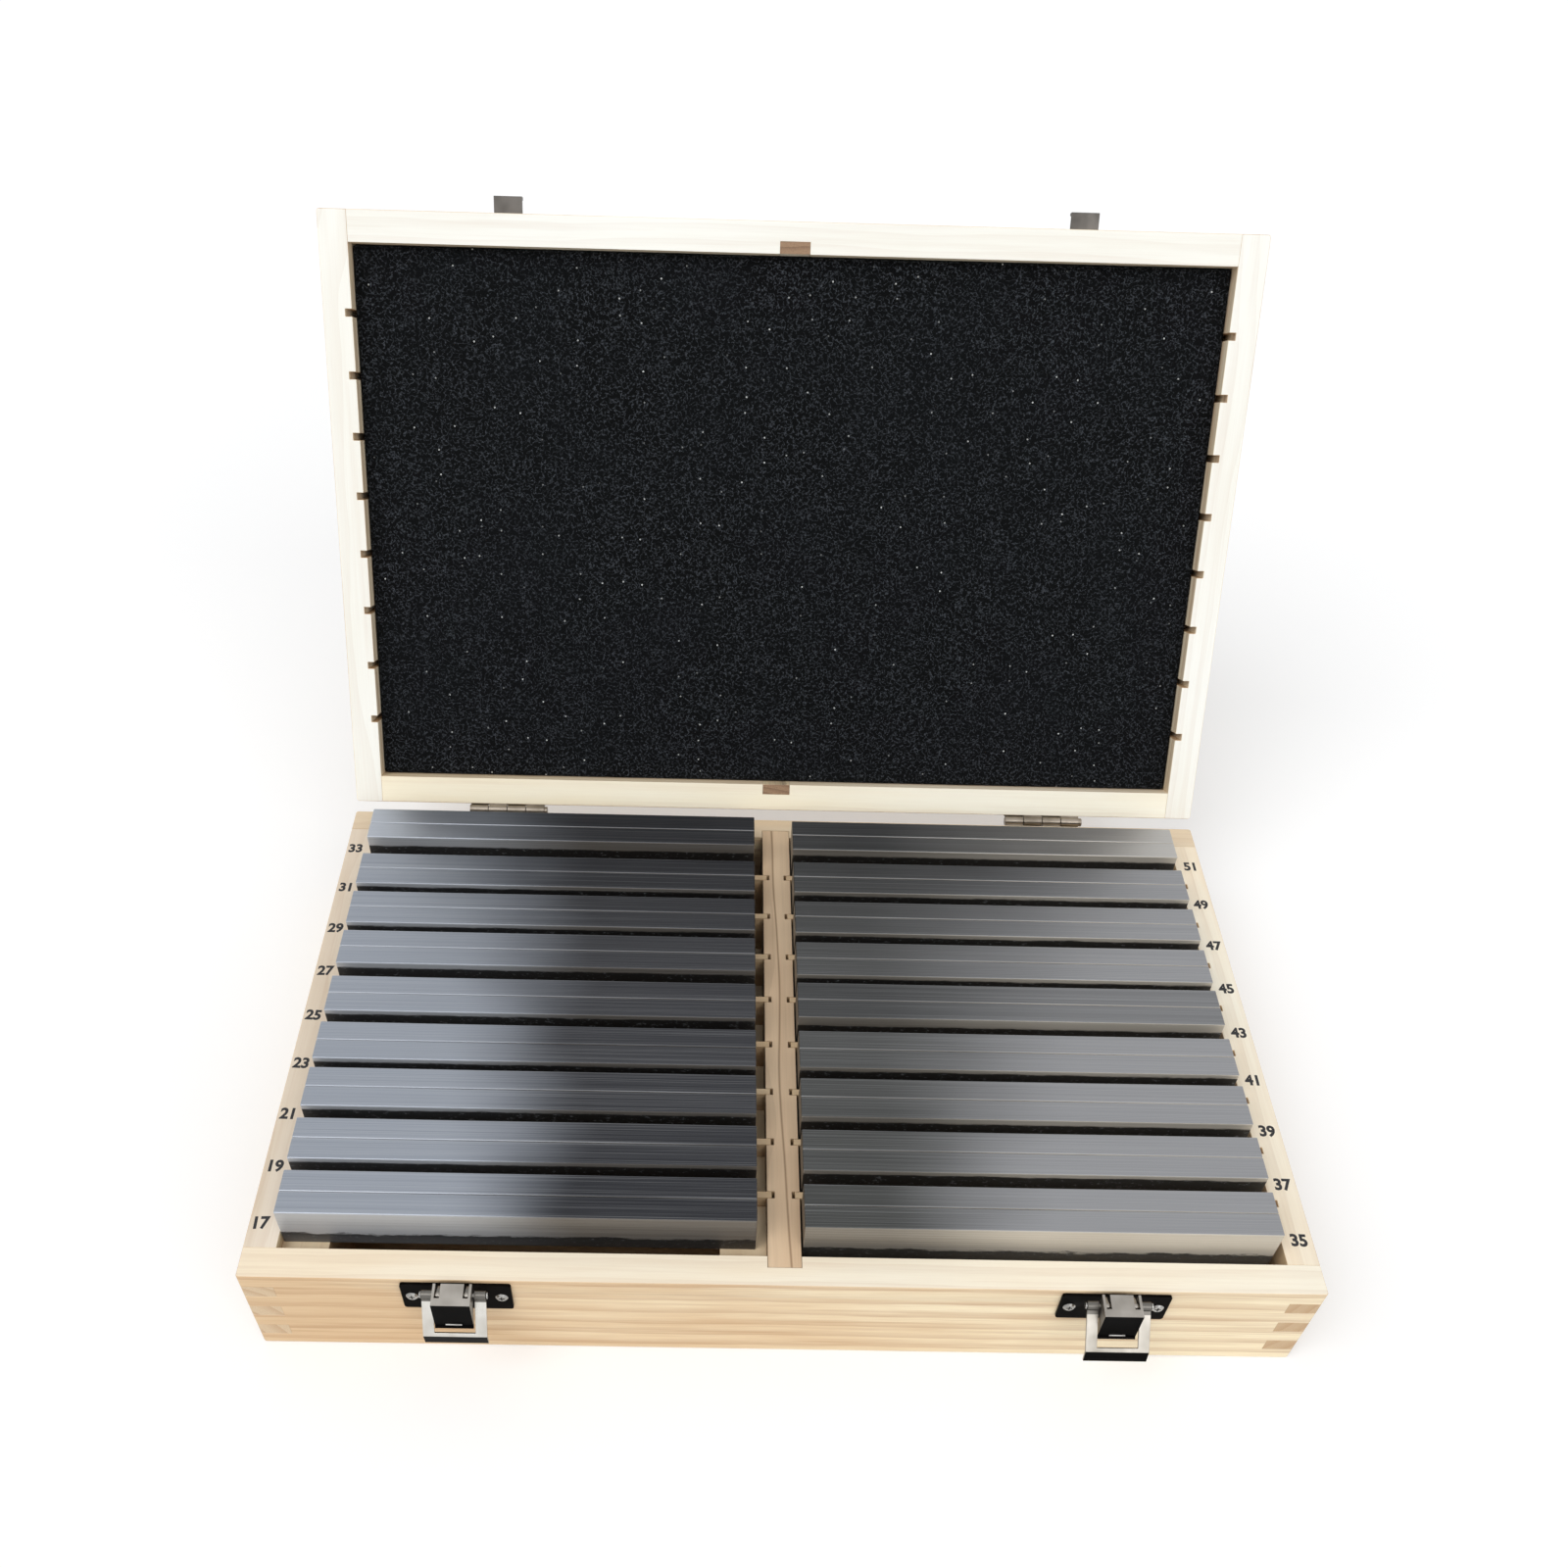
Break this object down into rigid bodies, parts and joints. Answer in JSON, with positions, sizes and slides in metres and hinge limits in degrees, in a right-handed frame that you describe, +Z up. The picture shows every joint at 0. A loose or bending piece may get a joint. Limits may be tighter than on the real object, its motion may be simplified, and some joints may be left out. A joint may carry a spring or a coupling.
{
  "type": "parallel block case",
  "caption": "Open wooden case with a hinged lid and toggle latches, holding matched pairs of ground steel parallels in two columns of bays, with foam under the lid.",
  "frame": {"origin": "Middle of the underside of the base, where the case rests.", "axes": "+X to the right, +Y to the back where the hinges are, +Z up. The lid stands open, leaning back."},
  "size_m": [0.3398, 0.3526, 0.2351],
  "materials": {
    "pine": "pale pine, planed and lightly sealed",
    "panel_wood": "thin pale plywood",
    "inner_wood": "plain sawn pine",
    "ground_steel": "surface ground, dark satin",
    "plated_steel": "thin bright nickel plate on pressed steel",
    "bright_screws": "bright zinc plate",
    "foam": "open-cell black foam, matt"
  },
  "bodies": {
    "base": {"base_front_wall": "pine", "base_rear_wall": "pine", "base_left_wall": "pine", "base_right_wall": "pine", "base_bottom_panel": "panel_wood", "base_divider": "pine", "left_bay_slips": "inner_wood", "right_bay_slips": "inner_wood", "left_bay_left_blocks": "inner_wood", "left_bay_right_blocks": "inner_wood", "right_bay_left_blocks": "inner_wood", "right_bay_right_blocks": "inner_wood", "left_hinge_base_leaf": "plated_steel", "right_hinge_base_leaf": "plated_steel", "hinge_pins": "plated_steel", "hinge_base_screws": "bright_screws", "left_latch_plate": "plated_steel", "right_latch_plate": "plated_steel", "latch_lever_pins": "plated_steel", "latch_plate_screws": "bright_screws"},
    "lid": {"lid_front_wall": "pine", "lid_rear_wall": "pine", "lid_left_wall": "pine", "lid_right_wall": "pine", "lid_panel": "panel_wood", "lid_foam": "foam", "lid_divider_plugs": "pine", "left_hinge_lid_leaf": "plated_steel", "right_hinge_lid_leaf": "plated_steel", "hinge_lid_screws": "bright_screws", "left_lid_catch": "plated_steel", "right_lid_catch": "plated_steel", "lid_catch_screws": "bright_screws"},
    "pair_17": {"parallel_pair_17": "ground_steel"},
    "pair_19": {"parallel_pair_19": "ground_steel"},
    "pair_21": {"parallel_pair_21": "ground_steel"},
    "pair_23": {"parallel_pair_23": "ground_steel"},
    "pair_25": {"parallel_pair_25": "ground_steel"},
    "pair_27": {"parallel_pair_27": "ground_steel"},
    "pair_29": {"parallel_pair_29": "ground_steel"},
    "pair_31": {"parallel_pair_31": "ground_steel"},
    "pair_33": {"parallel_pair_33": "ground_steel"},
    "pair_35": {"parallel_pair_35": "ground_steel"},
    "pair_37": {"parallel_pair_37": "ground_steel"},
    "pair_39": {"parallel_pair_39": "ground_steel"},
    "pair_41": {"parallel_pair_41": "ground_steel"},
    "pair_43": {"parallel_pair_43": "ground_steel"},
    "pair_45": {"parallel_pair_45": "ground_steel"},
    "pair_47": {"parallel_pair_47": "ground_steel"},
    "pair_49": {"parallel_pair_49": "ground_steel"},
    "pair_51": {"parallel_pair_51": "ground_steel"},
    "left_lever": {"left_latch_lever": "plated_steel", "left_latch_loop_rivets": "plated_steel"},
    "left_loop": {"left_latch_loop": "plated_steel"},
    "right_lever": {"right_latch_lever": "plated_steel", "right_latch_loop_rivets": "plated_steel"},
    "right_loop": {"right_latch_loop": "plated_steel"}
  },
  "joints": [
    {"name": "lid_hinge", "type": "hinge", "parent": "base", "child": "lid", "pos_m": [0, 0.1094, 0.0421], "axis": [-1, 0, 0], "range_deg": [-117.7, 0]},
    {"name": "lift_pair_17", "type": "slide", "parent": "base", "child": "pair_17", "axis": [0, 0, 1], "range_m": [0, 0.06]},
    {"name": "lift_pair_19", "type": "slide", "parent": "base", "child": "pair_19", "axis": [0, 0, 1], "range_m": [0, 0.06]},
    {"name": "lift_pair_21", "type": "slide", "parent": "base", "child": "pair_21", "axis": [0, 0, 1], "range_m": [0, 0.06]},
    {"name": "lift_pair_23", "type": "slide", "parent": "base", "child": "pair_23", "axis": [0, 0, 1], "range_m": [0, 0.06]},
    {"name": "lift_pair_25", "type": "slide", "parent": "base", "child": "pair_25", "axis": [0, 0, 1], "range_m": [0, 0.06]},
    {"name": "lift_pair_27", "type": "slide", "parent": "base", "child": "pair_27", "axis": [0, 0, 1], "range_m": [0, 0.06]},
    {"name": "lift_pair_29", "type": "slide", "parent": "base", "child": "pair_29", "axis": [0, 0, 1], "range_m": [0, 0.06]},
    {"name": "lift_pair_31", "type": "slide", "parent": "base", "child": "pair_31", "axis": [0, 0, 1], "range_m": [0, 0.06]},
    {"name": "lift_pair_33", "type": "slide", "parent": "base", "child": "pair_33", "axis": [0, 0, 1], "range_m": [0, 0.06]},
    {"name": "lift_pair_35", "type": "slide", "parent": "base", "child": "pair_35", "axis": [0, 0, 1], "range_m": [0, 0.06]},
    {"name": "lift_pair_37", "type": "slide", "parent": "base", "child": "pair_37", "axis": [0, 0, 1], "range_m": [0, 0.06]},
    {"name": "lift_pair_39", "type": "slide", "parent": "base", "child": "pair_39", "axis": [0, 0, 1], "range_m": [0, 0.06]},
    {"name": "lift_pair_41", "type": "slide", "parent": "base", "child": "pair_41", "axis": [0, 0, 1], "range_m": [0, 0.06]},
    {"name": "lift_pair_43", "type": "slide", "parent": "base", "child": "pair_43", "axis": [0, 0, 1], "range_m": [0, 0.06]},
    {"name": "lift_pair_45", "type": "slide", "parent": "base", "child": "pair_45", "axis": [0, 0, 1], "range_m": [0, 0.06]},
    {"name": "lift_pair_47", "type": "slide", "parent": "base", "child": "pair_47", "axis": [0, 0, 1], "range_m": [0, 0.06]},
    {"name": "lift_pair_49", "type": "slide", "parent": "base", "child": "pair_49", "axis": [0, 0, 1], "range_m": [0, 0.06]},
    {"name": "lift_pair_51", "type": "slide", "parent": "base", "child": "pair_51", "axis": [0, 0, 1], "range_m": [0, 0.06]},
    {"name": "left_lever_hinge", "type": "hinge", "parent": "base", "child": "left_lever", "pos_m": [-0.1024, -0.112, 0.0416], "axis": [-1, 0, 0], "range_deg": [0, 120]},
    {"name": "right_lever_hinge", "type": "hinge", "parent": "base", "child": "right_lever", "pos_m": [0.1039, -0.112, 0.0416], "axis": [-1, 0, 0], "range_deg": [0, 120]},
    {"name": "left_loop_hinge", "type": "hinge", "parent": "left_lever", "child": "left_loop", "pos_m": [-0.1024, -0.1106, 0.0396], "axis": [1, 0, 0], "range_deg": [-145, 27]},
    {"name": "right_loop_hinge", "type": "hinge", "parent": "right_lever", "child": "right_loop", "pos_m": [0.1039, -0.1106, 0.0396], "axis": [1, 0, 0], "range_deg": [-131, 41]}
  ]
}
